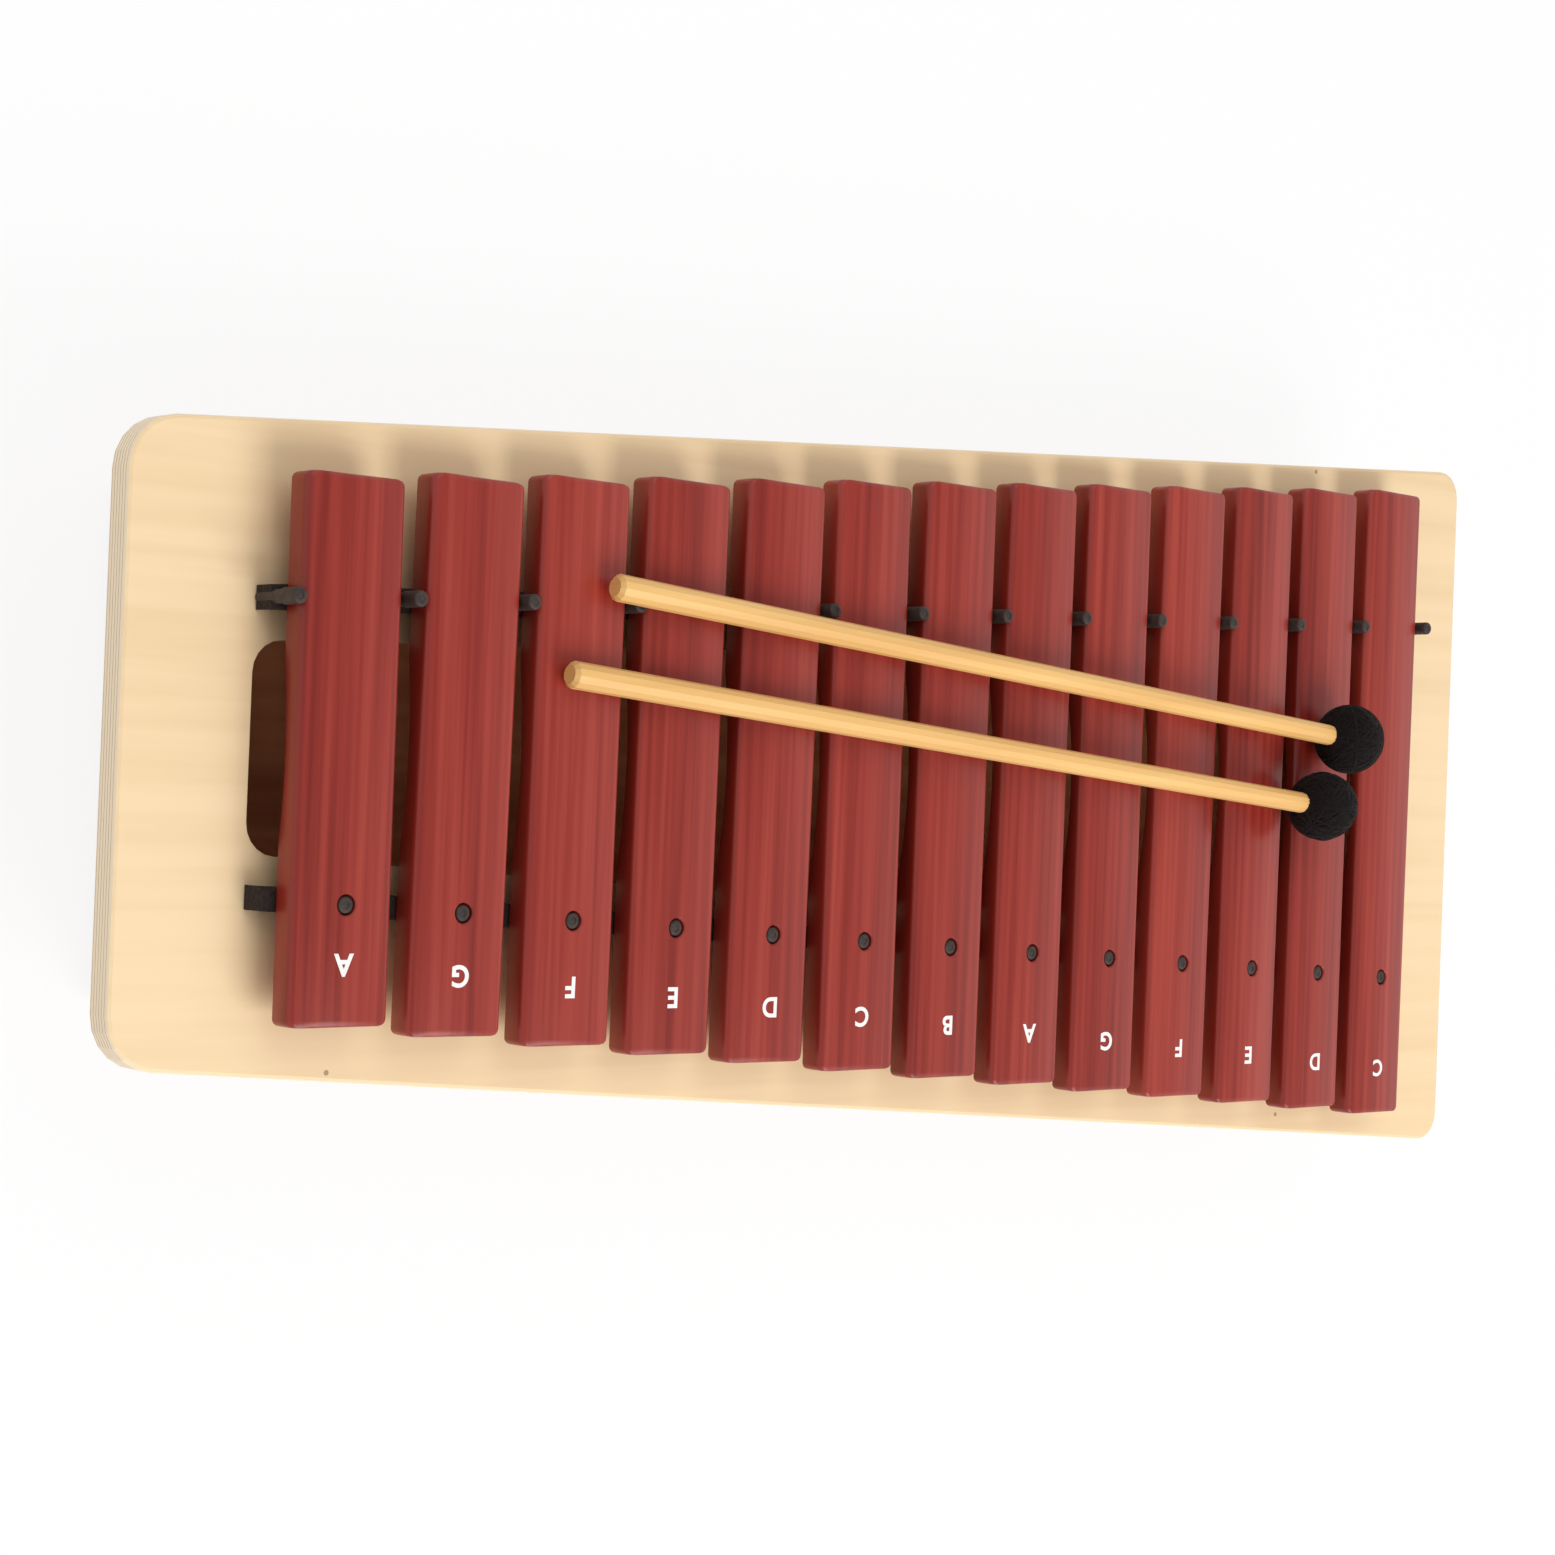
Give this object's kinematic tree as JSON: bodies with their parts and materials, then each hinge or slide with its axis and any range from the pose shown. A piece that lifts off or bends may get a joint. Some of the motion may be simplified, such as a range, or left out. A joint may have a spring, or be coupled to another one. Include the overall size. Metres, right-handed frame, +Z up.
{
  "type": "soprano xylophone",
  "caption": "Diatonic wooden bars on felt strips over a slotted resonator box, held by rubber-sleeved posts and pins, with two wound mallets.",
  "frame": {"origin": "middle of the footprint on the surface that the feet stand on", "axes": "+X towards the short high bars, -Y towards the player, +Z up"},
  "size_m": [0.577, 0.2602, 0.1135],
  "materials": {
    "plywood": "satin lacquered birch plywood with bare ply edges",
    "box_wood": "plain unlacquered plywood",
    "bar_wood": "satin gloss red-brown stain with fine grain",
    "felt": "dense black felt",
    "sleeve_rubber": "matt dark grey rubber sleeve on a nail",
    "foot_rubber": "matt black rubber",
    "stick_wood": "satin lacquered birch",
    "yarn": "tightly wound black wool yarn"
  },
  "bodies": {
    "resonator": {"top_panel": "plywood", "bottom_board": "box_wood", "side_wall_player": "box_wood", "side_wall_far": "box_wood", "end_wall_high": "box_wood", "end_wall_low": "box_wood", "felt_strip_player": "felt", "felt_strip_far": "felt", "foot_high_player": "foot_rubber", "foot_high_far": "foot_rubber", "foot_low_player": "foot_rubber", "foot_low_far": "foot_rubber", "post_01": "sleeve_rubber", "post_02": "sleeve_rubber", "post_03": "sleeve_rubber", "post_04": "sleeve_rubber", "post_05": "sleeve_rubber", "post_06": "sleeve_rubber", "post_07": "sleeve_rubber", "post_08": "sleeve_rubber", "post_09": "sleeve_rubber", "post_10": "sleeve_rubber", "post_11": "sleeve_rubber", "post_12": "sleeve_rubber", "post_13": "sleeve_rubber", "post_14": "sleeve_rubber", "pin_01": "sleeve_rubber", "pin_02": "sleeve_rubber", "pin_03": "sleeve_rubber", "pin_04": "sleeve_rubber", "pin_05": "sleeve_rubber", "pin_06": "sleeve_rubber", "pin_07": "sleeve_rubber", "pin_08": "sleeve_rubber", "pin_09": "sleeve_rubber", "pin_10": "sleeve_rubber", "pin_11": "sleeve_rubber", "pin_12": "sleeve_rubber", "pin_13": "sleeve_rubber", "bar_03": "bar_wood", "bar_04": "bar_wood", "bar_05": "bar_wood", "bar_06": "bar_wood", "bar_07": "bar_wood", "bar_08": "bar_wood", "bar_09": "bar_wood", "bar_10": "bar_wood", "bar_11": "bar_wood", "bar_12": "bar_wood", "bar_13": "bar_wood"},
    "bar_01_body": {"bar_01": "bar_wood"},
    "bar_02_body": {"bar_02": "bar_wood"},
    "mallet_a_body": {"mallet_a_stick": "stick_wood", "mallet_a_head": "yarn"},
    "mallet_b_body": {"mallet_b_stick": "stick_wood", "mallet_b_head": "yarn"}
  },
  "joints": [
    {"name": "bar_01_lift", "type": "slide", "parent": "resonator", "child": "bar_01_body", "axis": [0, 0, 1], "range_m": [0, 0.03]},
    {"name": "bar_02_lift", "type": "slide", "parent": "resonator", "child": "bar_02_body", "axis": [0, 0, 1], "range_m": [0, 0.03]},
    {"name": "mallet_a_lift", "type": "slide", "parent": "resonator", "child": "mallet_a_body", "axis": [0, 0, 1], "range_m": [0, 0.08]},
    {"name": "mallet_b_lift", "type": "slide", "parent": "resonator", "child": "mallet_b_body", "axis": [0, 0, 1], "range_m": [0, 0.08]}
  ]
}
